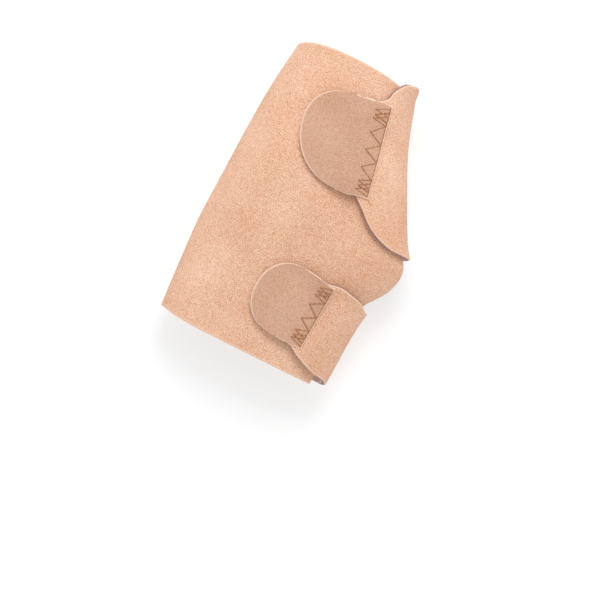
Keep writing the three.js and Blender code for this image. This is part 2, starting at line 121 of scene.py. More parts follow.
def on_hand(turn, y):
    """The wrapped blank's outer face: degrees from the thumb side over the back, mm up the hand."""
    turn, y = np.broadcast_arrays(np.asarray(turn, float), np.asarray(y, float))
    width, crown, side, top = section(y)
    c, s = np.cos(np.radians(turn)), np.sin(np.radians(turn))
    power = 2 / np.where(s < 0, PALM_ROUND, np.where(c >= 0, BACK_RADIAL, BACK_ULNAR))
    across = np.where(c >= 0, width - crown, crown + fullness(y))
    x = crown + np.sign(c) * across * np.abs(c) ** power
    z = side + np.sign(s) * np.where(s >= 0, top - side, side - PALM_LEVEL) * np.abs(s) ** power
    return np.stack([x, y, z], -1)


def ease_between(x, low, high):
    t = np.clip((np.asarray(x, float) - low) / (high - low), 0, 1)
    return t * t * (3 - 2 * t)


def settle(p):
    """How a worn laminate lies a little in and out of true, over the knuckles and tendons."""
    x, y, z = p[..., 0], p[..., 1], p[..., 2]
    soft = (0.34 * np.sin(0.105 * x + 0.052 * y + 0.6) * np.sin(0.071 * y + 1.1)
            + 0.2 * np.sin(0.19 * x - 0.12 * y + 2.1) + 0.1 * np.sin(0.31 * y + 0.23 * x))
    return soft * ease_between(z, 25, 36)


def off_hand(turn, y, out):
    step = 0.5
    around = on_hand(turn + step, y) - on_hand(turn - step, y)
    along = on_hand(turn, y + step) - on_hand(turn, y - step)
    normal = np.cross(along, around)
    normal /= np.linalg.norm(normal, axis=-1, keepdims=True)
    p = on_hand(turn, y)
    return p + normal * (np.asarray(out, float) + settle(p))[..., None]


def turn_over(x, y):
    """The degrees at which the back of the wrap lies over a place in plan."""
    y = np.asarray(y, float)
    width, crown, _, _ = section(y)
    across = np.where(x >= crown, width - crown, crown + fullness(y))
    share = np.minimum(np.abs(x - crown) / across, 1)
    turn = np.degrees(np.arccos(share ** (np.where(x >= crown, BACK_RADIAL, BACK_ULNAR) / 2)))
    return np.where(x >= crown, turn, 180 - turn)


def over_back(x, y, out):
    return off_hand(turn_over(x, y), y, out)


def edge_steps(length, step):
    """Shares of a length, fine at both ends so that a cut edge can be rounded."""
    fine = [0, 0.12, 0.3, 0.55, 0.9, 1.5]
    count = max(2, round((length - 3) / step))
    inner = np.linspace(1.5, length - 1.5, count + 1)[1:-1]
    return np.concatenate([fine, inner, length - np.array(fine[::-1])]) / length


def even_rows(paths, shares):
    """Each path of points, spaced evenly along its own length."""
    rows = []
    for path in paths:
        run = np.concatenate([[0], np.cumsum(np.linalg.norm(np.diff(path, axis=0), axis=1))])
        rows.append(np.stack([np.interp(shares * run[-1], run, path[:, k]) for k in range(3)], -1))
    return np.array(rows)


def layer_mesh(name, outer, top, bottom, round_top=0.0, round_bottom=0.0, nap=0.0, seed=1):
    """A closed sheet between two depths under a grid of points, its cut edges rounded over."""
    around = np.gradient(outer, axis=1)
    along = np.gradient(outer, axis=0)
    normal = np.cross(along, around)
    normal /= np.linalg.norm(normal, axis=-1, keepdims=True)
    run_u = np.cumsum(np.linalg.norm(np.diff(outer, axis=1, prepend=outer[:, :1]), axis=2), axis=1)
    run_v = np.cumsum(np.linalg.norm(np.diff(outer, axis=0, prepend=outer[:1]), axis=2), axis=0)
    from_edge = np.minimum(np.minimum(run_u, run_u[:, -1:] - run_u),
                           np.minimum(run_v, run_v[-1:] - run_v))

    def fall(radius):
        if radius <= 0:
            return np.zeros_like(from_edge)
        inside = radius - np.minimum(from_edge, radius)
        return radius - np.sqrt(radius ** 2 - inside ** 2)

    relief = np.random.default_rng(seed).normal(0, nap, outer.shape[:2]) if nap else 0
    upper = outer - normal * (top + fall(round_top) + relief)[..., None]
    lower = outer - normal * (bottom - fall(round_bottom))[..., None]
    rows, columns = outer.shape[:2]
    points = np.concatenate([upper.reshape(-1, 3), lower.reshape(-1, 3)]) + hand_corner
    at = np.arange(rows * columns).reshape(rows, columns)
    under = at + rows * columns

    def quads(a, b, c, d):
        return np.stack([a, b, c, d], -1).reshape(-1, 4)

    faces = np.concatenate([
        quads(at[:-1, :-1], at[1:, :-1], at[1:, 1:], at[:-1, 1:]),
        quads(under[:-1, :-1], under[:-1, 1:], under[1:, 1:], under[1:, :-1]),
        quads(at[0, 1:], under[0, 1:], under[0, :-1], at[0, :-1]),
        quads(at[-1, :-1], under[-1, :-1], under[-1, 1:], at[-1, 1:]),
        quads(at[:-1, 0], under[:-1, 0], under[1:, 0], at[1:, 0]),
        quads(at[1:, -1], under[1:, -1], under[:-1, -1], at[:-1, -1])])
    mesh = bpy.data.meshes.new(name)
    mesh.from_pydata((points * MM).tolist(), [], faces.tolist())
    mesh.update()
    piece = bpy.data.objects.new(name, mesh)
    bpy.context.scene.collection.objects.link(piece)
    uv = mesh.uv_layers.new(name="cloth")
    flat = np.stack([run_u, run_v], -1).reshape(-1, 2) * MM
    corners = np.empty(len(mesh.loops), int)
    mesh.loops.foreach_get("vertex_index", corners)
    uv.data.foreach_set("uv", np.concatenate([flat, flat])[corners].ravel())
    # Nearness to a cut edge, which the cloths use for a painted highlight along their edges.
    rim = mesh.attributes.new("rim", "FLOAT", "POINT")
    nearness = (1 - ease_between(from_edge, 0.1, 1.3)).ravel()
    rim.data.foreach_set("value", np.concatenate([nearness, nearness]).astype(np.float32))
    mesh.shade_smooth()
    mesh.set_sharp_from_angle(angle=math.radians(50))
    return piece


def colour(red, green, blue):
    """A colour written as 0 to 255, for the shaders."""
    out = []
    for v in (red, green, blue):
        v /= 255
        out.append(v / 12.92 if v <= 0.04045 else ((v + 0.055) / 1.055) ** 2.4)
    return (*out, 1)


def node(tree, kind, **values):
    made = tree.nodes.new(kind)
    for key, value in values.items():
        if key in made.inputs:
            made.inputs[key].default_value = value
        else:
            setattr(made, key, value)
    return made


def new_group(name, inputs, outputs):
    tree = bpy.data.node_groups.new(name, "ShaderNodeTree")
    for label, kind, value in inputs:
        socket = tree.interface.new_socket(label, in_out="INPUT", socket_type=kind)
        if value is not None:
            socket.default_value = value
    for label, kind in outputs:
        tree.interface.new_socket(label, in_out="OUTPUT", socket_type=kind)
    return tree, tree.nodes.new("NodeGroupInput"), tree.nodes.new("NodeGroupOutput")


# Nap: the cropped loops of a brushed cloth, in tufts, with softer and lighter places between.
nap, nap_in, nap_out = new_group(
    "nap",
    [("Place", "NodeSocketVector", None), ("Tufts", "NodeSocketFloat", 900.0),
     ("Patches", "NodeSocketFloat", 160.0)],
    [("Shade", "NodeSocketFloat"), ("Height", "NodeSocketFloat")])
tufts = node(nap, "ShaderNodeTexNoise", Detail=3.0, Roughness=0.62)
loops = node(nap, "ShaderNodeTexVoronoi", feature="SMOOTH_F1", Smoothness=0.6)
patches = node(nap, "ShaderNodeTexNoise", Detail=2.0, Roughness=0.5)
drift = node(nap, "ShaderNodeTexNoise", Scale=38.0, Detail=1.0)
for texture in (tufts, loops, patches, drift):
    nap.links.new(nap_in.outputs["Place"], texture.inputs["Vector"])
nap.links.new(nap_in.outputs["Tufts"], tufts.inputs["Scale"])
nap.links.new(nap_in.outputs["Tufts"], loops.inputs["Scale"])
nap.links.new(nap_in.outputs["Patches"], patches.inputs["Scale"])
height = node(nap, "ShaderNodeMath", operation="MULTIPLY_ADD")
height.inputs[1].default_value = -0.55
nap.links.new(loops.outputs["Distance"], height.inputs[0])
nap.links.new(tufts.outputs["Fac"], height.inputs[2])
nap.links.new(height.outputs[0], nap_out.inputs["Height"])
tone = node(nap, "ShaderNodeMath", operation="MULTIPLY_ADD")
tone.inputs[1].default_value = 1.25
nap.links.new(height.outputs[0], tone.inputs[0])
broad = node(nap, "ShaderNodeMath", operation="MULTIPLY_ADD")
broad.inputs[1].default_value = 0.2
nap.links.new(patches.outputs["Fac"], broad.inputs[0])
slow = node(nap, "ShaderNodeMath", operation="MULTIPLY")
slow.inputs[1].default_value = 0.38
nap.links.new(drift.outputs["Fac"], slow.inputs[0])
nap.links.new(slow.outputs[0], broad.inputs[2])
nap.links.new(broad.outputs[0], tone.inputs[2])
nap.links.new(tone.outputs[0], nap_out.inputs["Shade"])


def new_finish(name, settings):
    """A material with its shader's plain settings."""
    made = bpy.data.materials.new(name)
    made.use_nodes = True
    shader = made.node_tree.nodes["Principled BSDF"]
    for label, value in settings.items():
        shader.inputs[label].default_value = value
    return made, made.node_tree, shader


def two_tone(tree, factor, dark, light, low=0.0, high=1.0):
    """A ramp between two colours, driven by a texture."""
    ramp = node(tree, "ShaderNodeValToRGB")
    first, last = ramp.color_ramp.elements
    first.position, first.color = low, colour(*dark)
    last.position, last.color = high, colour(*light)
    tree.links.new(factor, ramp.inputs["Fac"])
    return ramp.outputs["Color"]


def raised(tree, shader, height, strength, distance):
    """A texture's relief on a material."""
    relief = node(tree, "ShaderNodeBump", Strength=strength, Distance=distance)
    tree.links.new(height, relief.inputs["Height"])
    tree.links.new(relief.outputs["Normal"], shader.inputs["Normal"])


def cloth_material(name, dark, light, rim, tufts, patches, bump, depth,
                   sheen=0.2, low=0.3, high=0.85):
    """A brushed cloth: nap for its colour and relief, and a painted highlight that makes it paler near a
    cut edge.
    """
    made, tree, shader = new_finish(name, {
        "Roughness": 0.93, "Specular IOR Level": 0.25,
        "Sheen Weight": sheen, "Sheen Roughness": 0.6})
    place = node(tree, "ShaderNodeTexCoord")
    grain = node(tree, "ShaderNodeGroup")
    grain.node_tree = nap
    grain.inputs["Tufts"].default_value = tufts
    grain.inputs["Patches"].default_value = patches
    tree.links.new(place.outputs["Object"], grain.inputs["Place"])
    dyed = two_tone(tree, grain.outputs["Shade"], dark, light, low, high)
    # Near a cut edge the rim colour is mixed in, a painted highlight where the edge would catch the light.
    edge = node(tree, "ShaderNodeAttribute", attribute_name="rim")
    rim_highlight = node(tree, "ShaderNodeMix", data_type="RGBA")
    rim_highlight.inputs["B"].default_value = colour(*rim)
    less = node(tree, "ShaderNodeMath", operation="MULTIPLY")
    less.inputs[1].default_value = 0.6
    tree.links.new(edge.outputs["Fac"], less.inputs[0])
    tree.links.new(less.outputs[0], rim_highlight.inputs["Factor"])
    tree.links.new(dyed, rim_highlight.inputs["A"])
    tree.links.new(rim_highlight.outputs["Result"], shader.inputs["Base Color"])
    raised(tree, shader, grain.outputs["Height"], bump, depth)
    return made


# The third colour of each cloth is its painted highlight along the cut edges.
pile_cloth = cloth_material("pile_cloth", (212, 142, 102), (255, 222, 195), (252, 216, 190),
                            2300.0, 420.0, 0.8, 0.0005, sheen=0.06, low=0.24, high=0.94)
lining_cloth = cloth_material("lining_cloth", (196, 164, 146), (222, 192, 172), (222, 192, 172),
                              2200.0, 300.0, 0.4, 0.0003)

core_foam, tree, shader = new_finish("core_foam", {"Roughness": 0.9, "Specular IOR Level": 0.2})
place = node(tree, "ShaderNodeTexCoord")
cells = node(tree, "ShaderNodeTexVoronoi", Scale=2600.0)
tree.links.new(place.outputs["Object"], cells.inputs["Vector"])
# The foam's grey is partly its own colour and partly painted shade: it is darkened to stand for the shade
# on its cut edges.
grey_and_shade = two_tone(tree, cells.outputs["Distance"], (112, 84, 86), (164, 136, 134), 0.05, 0.5)
tree.links.new(grey_and_shade, shader.inputs["Base Color"])
raised(tree, shader, cells.outputs["Distance"], 0.5, 0.0003)


def blank_edge(y):
    """Degrees at which the free edge of the back panel lies, under the straps."""
    share = y / LENGTH
    under_web = part_way(24, 14, ease_between(share, 0, 0.3))
    return part_way(under_web, 5, ease_between(share, 0.26, 0.4)) + 26 * ease_between(share, 0.5, 1)


def run_on(turn, y):
    """How far a row has moved up the arm where the wrist strap flares past the forearm edge."""
    return 2.4 * ease_between(turn, 270, 345) * ease_between(y, 0.7 * LENGTH, LENGTH)


def bow_out(turn, y):
    """The cut ends of the back are a little convex, more so at the forearm."""
    over = np.clip((175 - turn) / 175, 0, 1)
    forearm = 4.2 * np.sin(np.pi * over) * ease_between(y, 0.72 * LENGTH, LENGTH)
    return forearm - 1.9 * ease_between(over, 0, 0.35) * (1 - ease_between(y, 0, 0.25 * LENGTH))


def spiral(turn):
    return STRAP_RISE * ease_between(turn, PALM_EDGE, 350)


def blank_paths(rows):
    paths = []
    for y in rows:
        back, palm = np.linspace(blank_edge(y), 268, 500), np.linspace(268.2, PALM_EDGE, 120)
        turn = np.concatenate([back, palm])
        flared = y + run_on(turn, y) + bow_out(turn, y)
        paths.append(off_hand(turn, flared, spiral(turn)))
    return paths


def laminate(name, body, nodes, outer, seed, roundness=0.42):
    """The three bonded layers over one grid, each standing for its own part."""
    face = layer_mesh(f"{name}_pile", outer, 0, FACE, round_top=roundness, nap=0.035, seed=seed)
    foam = layer_mesh(f"{name}_core", outer, FACE + BOND, FACE + BOND + CORE)
    lining = layer_mesh(f"{name}_liner", outer, LAMINATE - LINING, LAMINATE, round_bottom=0.25)
    layers = [face, foam, lining]
    finishes = [(pile_cloth, "face_cloth"), (core_foam, "foam"), (lining_cloth, "lining")]
    for layer, (finish, slot), cad in zip(layers, finishes, nodes):
        layer.data.materials.append(finish)
        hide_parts(cad)
        if body:
            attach(layer, body)
    return layers


blank_rows = edge_steps(LENGTH, 1.5) * LENGTH
blank_outer = even_rows(blank_paths(blank_rows), edge_steps(225, 1.5))
laminate("blank", "blank", ["blank_face", "blank_foam", "blank_lining"], blank_outer, 3)

# ---- The straps ----
# Two arms of the same blank. Each comes up the thumb side from the palm, bends over onto the back
# of the hand, and ends under its tab. The laminate bends over a strip, so each layer is one piece
# that follows the blank below the bend and the strap's free end above it.


def smooth_line(points, count):
    """A curve through places in plan, drawn as a maker would draw the cutting line."""
    p = np.array([points[0], *points, points[-1]], float)
    p[0], p[-1] = 2 * p[1] - p[2], 2 * p[-2] - p[-3]
    out = []
    for k in range(1, len(p) - 2):
        t = np.linspace(0, 1, 24, endpoint=False)[:, None]
        out.append(0.5 * (2 * p[k] + (p[k + 1] - p[k - 1]) * t
                          + (2 * p[k - 1] - 5 * p[k] + 4 * p[k + 1] - p[k + 2]) * t ** 2
                          + (3 * p[k] - p[k - 1] - 3 * p[k + 1] + p[k + 2]) * t ** 3))
    out = np.concatenate([*out, p[-2:-1]])
    run = np.concatenate([[0], np.cumsum(np.linalg.norm(np.diff(out, axis=0), axis=1))])
    at = np.linspace(0, run[-1], count)
    return np.stack([np.interp(at, run, out[:, k]) for k in range(2)], -1)


def strap_paths(low_edge, high_edge, start, shares):
    low, high = smooth_line(low_edge, 60), smooth_line(high_edge, 60)
    paths = []
    for t in shares:
        panel = part_way(low, high, t)
        bend_x, bend_y = panel[0]
        begin = part_way(*start, t)
        last = 360 + float(turn_over(bend_x, bend_y))
        turn = np.linspace(PALM_EDGE, last, 160)
        share = (turn - PALM_EDGE) / (last - PALM_EDGE)
        y = begin + run_on(turn, begin)
        arrive = y[-1]
        y = y + (bend_y - arrive) * ease_between(share, 0.45 + 0.22 * t ** 4, 1.0)
        root = off_hand(turn, y, spiral(turn))
        bowed = 1.1 * (1 - t) ** 3 * np.sin(np.pi * np.linspace(0, 1, 60)) ** 2
        over = over_back(panel[1:, 0], panel[1:, 1], STRAP_RISE + bowed[1:])
        paths.append(np.concatenate([root, over]))
    return paths


def bend_strip(joint, reach):
    """A joint's place, its unit axis and a reach in metres."""
    made = next(j for j in frame["joints"] if j["name"] == joint)
    axis = np.array(made["axis"])
    return np.array(made["pos_m"]), axis / np.linalg.norm(axis), reach * MM


def bend_over(piece, joint, towards, reach):
    foot, axis, reach = bend_strip(joint, reach)
    side = np.array(towards, float)
    side -= axis * side.dot(axis)
    side /= np.linalg.norm(side)
    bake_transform(piece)


web_shares = edge_steps(41, 1.3)
web_outer = even_rows(
    strap_paths([(75.5, 3.4), (71.5, 4.8), (67.7, 6.4), (64.0, 8.3), (60.8, 10.4), (56.2, 12.4)],
                [(75.8, 45.2), (71.6, 46.2), (68.2, 46.2), (65.0, 45.6), (62.0, 44.8), (58.2, 43.8)],
                (0.0, 41.0), web_shares),
    edge_steps(62, 1.3))
wrist_shares = edge_steps(64, 1.4)
wrist_outer = even_rows(
    strap_paths([(81.5, 70.9), (75.6, 72.4), (70.4, 74.8), (65.8, 77.9), (61.6, 81.8), (54.2, 88.0)],
                [(57.0, 146.2), (53.4, 144.6), (50.8, 141.0), (49.2, 137.2), (48.2, 133.4), (43.4, 129.4)],
                (70.0, 140.0), wrist_shares),
    edge_steps(66, 1.4))

for name, outer, seed, length in (("web_strap", web_outer, 5, 41),
                                  ("wrist_strap", wrist_outer, 7, 78)):
    nodes = [f"{name}_face", f"{name}_foam", f"{name}_lining"]
    for layer in laminate(name, None, nodes, outer, seed):
        bend_over(layer, f"{name}_bend", (-0.72, 0, 0.69), 6.5)

# ---- The hook tabs ----
# A rounded tongue of hook tape lies on the end of each strap and reaches past it onto the looped
# face. It is woven nylon, heat-cut, smoother and a little browner than the pile, with a painted highlight
# along its edge.

TAPE, HOOKS, SEAT = 0.9, 0.8, 0.35
TAB_OVERLAP, TAB_RAMP, TAPE_RAMP = 8, 8, 15

# The pale third colour is the tape's painted edge highlight.
tape_back = cloth_material("tape_back", (184, 136, 108), (220, 180, 154), (255, 228, 208),
                           2300.0, 500.0, 0.5, 0.0004, sheen=0.08, low=0.24, high=0.94)
tree = tape_back.node_tree
weft_place = node(tree, "ShaderNodeUVMap", uv_map="cloth")
weft = node(tree, "ShaderNodeTexWave", Scale=420.0, Distortion=1.2, bands_direction="Y")
tree.links.new(weft_place.outputs["UV"], weft.inputs["Vector"])
weft_relief = node(tree, "ShaderNodeBump", Strength=0.18, Distance=0.0002)
tree.links.new(weft.outputs["Fac"], weft_relief.inputs["Height"])
first_relief = next(n for n in tree.nodes if n.type == "BUMP" and n != weft_relief)
tree.links.new(first_relief.outputs["Normal"], weft_relief.inputs["Normal"])
tree.links.new(weft_relief.outputs["Normal"], tree.nodes["Principled BSDF"].inputs["Normal"])

TABS = {
    "web": dict(foot=((64.3, 11.0), (66.5, 45.6)), heading=176.5, length=32.4, round=16.0,
                waist=(0.4, 0.6)),
    "wrist": dict(foot=((61.4, 86.2), (51.4, 129.4)), heading=182.3, length=37.8, round=22.0,
                  waist=(1.4, -2.0)),
}


def tab_width(tab):
    return np.linalg.norm(np.subtract(*tab["foot"]))


def tab_level(gone):
    """The underside of the tape over the blank's face, from the strap down onto the hooks."""
    return part_way(STRAP_RISE + SEAT, 0.5 + HOOKS + SEAT,
                    ease_between(gone, TAB_OVERLAP - 0.5, TAB_OVERLAP + TAPE_RAMP))


def tab_plan(tab, across, gone):
    """A place on the tab: across from -1 at the finger side to 1, gone in mm from its sewn edge."""
    low, high = (np.array(p) for p in tab["foot"])
    across, gone = np.broadcast_arrays(np.asarray(across, float), np.asarray(gone, float))
    waist = np.where(across < 0, tab["waist"][0], -tab["waist"][1])
    drawn_in = (1 - ease_between(gone, 0, 14)) * waist * np.abs(across)
    seam = (high - low) / tab_width(tab)
    place = low + (high - low) * ((1 + across) / 2)[..., None] + seam * drawn_in[..., None]
    way = np.array([math.cos(math.radians(tab["heading"])), math.sin(math.radians(tab["heading"]))])
    return place + way * gone[..., None]


def tab_reach(tab, across):
    return tab["length"] - tab["round"] * (1 - (1 - np.abs(across) ** 2.15).clip(0) ** (1 / 2.15))


def tab_points(tab, across, gone, out):
    place = tab_plan(tab, across, gone)
    return over_back(place[..., 0], place[..., 1], out)


for name, tab in TABS.items():
    width = tab_width(tab)
    rows = []
    for across in np.sin((edge_steps(width, 1.0) * 2 - 1) * math.pi / 2):
        gone = np.linspace(0, float(tab_reach(tab, across)), 120)
        rows.append(tab_points(tab, across, gone, tab_level(gone) + TAPE))
    outer = even_rows(rows, edge_steps(tab["length"], 0.9))
    tape = layer_mesh(f"{name}_tab_tape", outer, 0, TAPE,
                      round_top=0.4, round_bottom=0.2, nap=0.012)
    tape.data.materials.append(tape_back)
    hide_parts(f"{name}_tab_root", f"{name}_tab_flap")
    bend_over(tape, f"{name}_tab_peel", (-1, 0, 0), 3.0)

# ---- The hooks ----
# The gripping side of each tab: rows of bent nylon monofilament, all within the tape's outline.

hook_nylon, tree, shader = new_finish("hook_nylon", {"Roughness": 0.4, "Transmission Weight": 0.15})
place = node(tree, "ShaderNodeTexCoord")
tint = node(tree, "ShaderNodeTexNoise", Scale=900.0)
tree.links.new(place.outputs["Object"], tint.inputs["Vector"])
pale = two_tone(tree, tint.outputs["Fac"], (214, 178, 152), (238, 210, 188))
tree.links.new(pale, shader.inputs["Base Color"])


def geometry_tree(name, inputs):
    made = bpy.data.node_groups.new(name, "GeometryNodeTree")
    made.interface.new_socket("Geometry", in_out="INPUT", socket_type="NodeSocketGeometry")
    for label, kind, value in inputs:
        socket = made.interface.new_socket(label, in_out="INPUT", socket_type=kind)
        if value is not None:
            socket.default_value = value
    made.interface.new_socket("Geometry", in_out="OUTPUT", socket_type="NodeSocketGeometry")
    return made, made.nodes.new("NodeGroupInput"), made.nodes.new("NodeGroupOutput")


def grown(name, source, tree, **values):
    """A plain mesh of what a geometry tree grows on a source mesh."""
    holder = bpy.data.objects.new(f"{name}_source", source)
    bpy.context.scene.collection.objects.link(holder)
    modifier = holder.modifiers.new("grow", "NODES")
    modifier.node_group = tree
    for item in tree.interface.items_tree:
        if item.item_type == "SOCKET" and item.in_out == "INPUT" and item.name in values:
            modifier[item.identifier] = values[item.name]
    shown = holder.evaluated_get(bpy.context.evaluated_depsgraph_get())
    mesh = bpy.data.meshes.new_from_object(shown)
    bpy.data.objects.remove(holder)
    mesh.name = name
    piece = bpy.data.objects.new(name, mesh)
    bpy.context.scene.collection.objects.link(piece)
    return piece


hook_tree, hook_in, hook_out = geometry_tree(
    "hook_field", [("Height", "NodeSocketFloat", 0.0008), ("Wire", "NodeSocketFloat", 0.00011),
                   ("Finish", "NodeSocketMaterial", None)])
arc = node(hook_tree, "GeometryNodeCurveArc", Resolution=7, Radius=1.0)
arc.inputs["Sweep Angle"].default_value = math.radians(235)
arc.inputs["Start Angle"].default_value = 0.0
stand = node(hook_tree, "GeometryNodeTransform")
stand.inputs["Rotation"].default_value = (math.radians(90), 0, 0)
hook_tree.links.new(arc.outputs["Curve"], stand.inputs["Geometry"])
wire = node(hook_tree, "GeometryNodeCurvePrimitiveCircle", Resolution=5)
relative = node(hook_tree, "ShaderNodeMath", operation="DIVIDE")
hook_tree.links.new(hook_in.outputs["Wire"], relative.inputs[0])
half = node(hook_tree, "ShaderNodeMath", operation="MULTIPLY")
half.inputs[1].default_value = 0.5
hook_tree.links.new(hook_in.outputs["Height"], half.inputs[0])
hook_tree.links.new(half.outputs[0], relative.inputs[1])
hook_tree.links.new(relative.outputs[0], wire.inputs["Radius"])
bent = node(hook_tree, "GeometryNodeCurveToMesh")
bent.inputs["Fill Caps"].default_value = True
hook_tree.links.new(stand.outputs["Geometry"], bent.inputs["Curve"])
hook_tree.links.new(wire.outputs["Curve"], bent.inputs["Profile Curve"])
plant = node(hook_tree, "GeometryNodeInstanceOnPoints")
normal = node(hook_tree, "GeometryNodeInputNormal")
aim = node(hook_tree, "FunctionNodeAlignRotationToVector", axis="Z")
spin = node(hook_tree, "FunctionNodeRandomValue", data_type="FLOAT")
spin.inputs[2].default_value, spin.inputs[3].default_value = -0.5, 0.5
spin.inputs["Seed"].default_value = 11
turned = node(hook_tree, "FunctionNodeRotateRotation", rotation_space="LOCAL")
as_turn = node(hook_tree, "FunctionNodeAxisAngleToRotation")
hook_tree.links.new(spin.outputs[1], as_turn.inputs["Angle"])
hook_tree.links.new(normal.outputs["Normal"], aim.inputs["Vector"])
hook_tree.links.new(aim.outputs["Rotation"], turned.inputs["Rotation"])
hook_tree.links.new(as_turn.outputs["Rotation"], turned.inputs["Rotate By"])
hook_tree.links.new(turned.outputs["Rotation"], plant.inputs["Rotation"])
hook_tree.links.new(half.outputs[0], plant.inputs["Scale"])
hook_tree.links.new(hook_in.outputs["Geometry"], plant.inputs["Points"])
hook_tree.links.new(bent.outputs["Mesh"], plant.inputs["Instance"])
real = node(hook_tree, "GeometryNodeRealizeInstances")
hook_tree.links.new(plant.outputs["Instances"], real.inputs["Geometry"])
dress = node(hook_tree, "GeometryNodeSetMaterial")
hook_tree.links.new(real.outputs["Geometry"], dress.inputs["Geometry"])
hook_tree.links.new(hook_in.outputs["Finish"], dress.inputs["Material"])
hook_tree.links.new(dress.outputs["Geometry"], hook_out.inputs["Geometry"])

for name, tab in TABS.items():
    across = np.linspace(-1, 1, round(tab_width(tab) / 1.5) + 1)[1:-1]
    start = TAB_OVERLAP + TAB_RAMP
    grid = []
    for row in across:
        end = float(tab_reach(tab, row)) - 1.6
        count = max(2, round((end - start) / 1.5))
        gone = np.linspace(start, end, count)
        grid.append(tab_points(tab, row, gone, tab_level(gone) - 0.48 * HOOKS))
    places = (np.concatenate(grid) + hand_corner) * MM
    dots = bpy.data.meshes.new(f"{name}_hook_places")
    dots.from_pydata(places.tolist(), [], [])
    hooks = grown(f"{name}_tab_hook_field", dots, hook_tree,
                  Height=HOOKS * MM, Wire=0.00009, Finish=hook_nylon)
    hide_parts(f"{name}_tab_hooks")
    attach(hooks, f"{name}_tab")

# ---- The sewing ----
# Brown polyester thread. A zigzag of wide teeth, closed up at both ends, holds each tab to its
# strap, and one straight run lies on the tab's edge. Every stitch is pulled down at its ends, where its
# colour is darkened as a painted shade for the needle holes.

seam_thread, tree, shader = new_finish("seam_thread", {"Roughness": 0.55})
place = node(tree, "ShaderNodeTexCoord")
ply = node(tree, "ShaderNodeTexNoise", Scale=2400.0, Detail=2.0)
tree.links.new(place.outputs["Object"], ply.inputs["Vector"])
brown = two_tone(tree, ply.outputs["Fac"], (166, 94, 46), (220, 154, 98), 0.3, 0.75)
# The thread darkens towards each stitch's ends, a painted shade for the needle holes where it sinks into
# the cloth.
proud = node(tree, "ShaderNodeAttribute", attribute_name="proud")
hole_shade = node(tree, "ShaderNodeMix", data_type="RGBA")
hole_shade.inputs["A"].default_value = colour(78, 40, 18)
tree.links.new(proud.outputs["Fac"], hole_shade.inputs["Factor"])
tree.links.new(brown, hole_shade.inputs["B"])
tree.links.new(hole_shade.outputs["Result"], shader.inputs["Base Color"])
raised(tree, shader, ply.outputs["Fac"], 0.5, 0.0002)

stitch_tree, stitch_in, stitch_out = geometry_tree(
    "stitch_run", [("Thread", "NodeSocketFloat", 0.0003), ("Crown", "NodeSocketFloat", 0.0002),
                   ("Up", "NodeSocketVector", None), ("Finish", "NodeSocketMaterial", None)])
as_curve = node(stitch_tree, "GeometryNodeMeshToCurve")
stitch_tree.links.new(stitch_in.outputs["Geometry"], as_curve.inputs["Mesh"])
finer = node(stitch_tree, "GeometryNodeResampleCurve", Count=7)
stitch_tree.links.new(as_curve.outputs["Curve"], finer.inputs["Curve"])
along = node(stitch_tree, "GeometryNodeSplineParameter")
swell = node(stitch_tree, "ShaderNodeMath", operation="PINGPONG")
swell.inputs[1].default_value = 0.5
stitch_tree.links.new(along.outputs["Factor"], swell.inputs[0])
full = node(stitch_tree, "ShaderNodeMath", operation="MULTIPLY", use_clamp=True)
full.inputs[1].default_value = 4.0
stitch_tree.links.new(swell.outputs[0], full.inputs[0])
rounded = node(stitch_tree, "ShaderNodeMath", operation="POWER")
rounded.inputs[1].default_value = 0.5
stitch_tree.links.new(full.outputs[0], rounded.inputs[0])
lift = node(stitch_tree, "ShaderNodeVectorMath", operation="SCALE")
amount = node(stitch_tree, "ShaderNodeMath", operation="MULTIPLY")
stitch_tree.links.new(rounded.outputs[0], amount.inputs[0])
stitch_tree.links.new(stitch_in.outputs["Crown"], amount.inputs[1])
stitch_tree.links.new(stitch_in.outputs["Up"], lift.inputs[0])
stitch_tree.links.new(amount.outputs[0], lift.inputs["Scale"])
crowned = node(stitch_tree, "GeometryNodeSetPosition")
stitch_tree.links.new(finer.outputs["Curve"], crowned.inputs["Geometry"])
stitch_tree.links.new(lift.outputs["Vector"], crowned.inputs["Offset"])
thick = node(stitch_tree, "ShaderNodeMath", operation="MULTIPLY_ADD")
thick.inputs[1].default_value = 0.65
thick.inputs[2].default_value = 0.35
stitch_tree.links.new(rounded.outputs[0], thick.inputs[0])
sized = node(stitch_tree, "GeometryNodeSetCurveRadius")
stitch_tree.links.new(crowned.outputs["Geometry"], sized.inputs["Curve"])
stitch_tree.links.new(thick.outputs[0], sized.inputs["Radius"])
round_thread = node(stitch_tree, "GeometryNodeCurvePrimitiveCircle", Resolution=7)
stitch_tree.links.new(stitch_in.outputs["Thread"], round_thread.inputs["Radius"])
# How far each point stands proud, kept for the thread's painted shade at its ends.
kept = node(stitch_tree, "GeometryNodeStoreNamedAttribute", domain="POINT", data_type="FLOAT")
kept.inputs["Name"].default_value = "proud"
stitch_tree.links.new(sized.outputs["Curve"], kept.inputs["Geometry"])
stitch_tree.links.new(rounded.outputs[0], kept.inputs["Value"])
sewn = node(stitch_tree, "GeometryNodeCurveToMesh")
sewn.inputs["Fill Caps"].default_value = True
stitch_tree.links.new(kept.outputs["Geometry"], sewn.inputs["Curve"])
stitch_tree.links.new(round_thread.outputs["Curve"], sewn.inputs["Profile Curve"])
all_real = node(stitch_tree, "GeometryNodeRealizeInstances")
stitch_tree.links.new(sewn.outputs["Mesh"], all_real.inputs["Geometry"])
dyed = node(stitch_tree, "GeometryNodeSetMaterial")
stitch_tree.links.new(all_real.outputs["Geometry"], dyed.inputs["Geometry"])
stitch_tree.links.new(stitch_in.outputs["Finish"], dyed.inputs["Material"])
